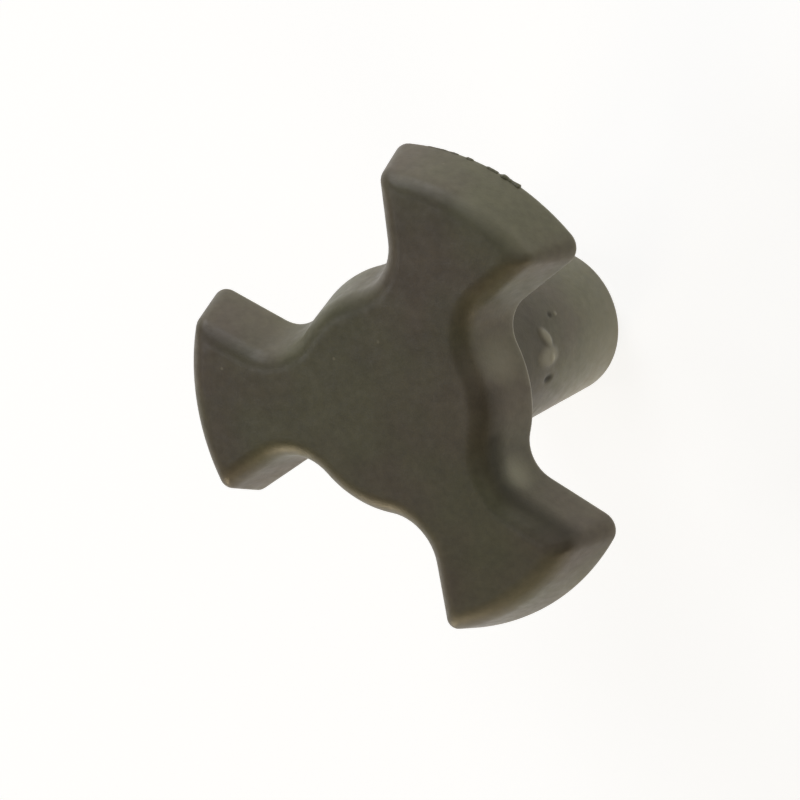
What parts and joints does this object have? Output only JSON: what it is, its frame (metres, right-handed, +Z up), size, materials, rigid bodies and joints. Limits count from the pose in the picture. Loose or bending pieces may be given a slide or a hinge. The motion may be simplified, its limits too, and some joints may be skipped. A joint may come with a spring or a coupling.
{
  "type": "microwave turntable coupler",
  "caption": "Moulded turntable coupler: a flat drive head with flared lobes that turn a glass tray, on a round stem with a blind D-shaped socket for the motor shaft.",
  "frame": {"origin": "centre of the stem's open end, on the axis", "axes": "+Z up the axis from the stem's open end to the head's front face, +X along one lobe"},
  "size_m": [0.0276, 0.03, 0.0203],
  "materials": {
    "moulded_plastic": "satin as moulded, dark olive brown"
  },
  "bodies": {
    "root": {"coupler": "moulded_plastic"}
  },
  "joints": []
}
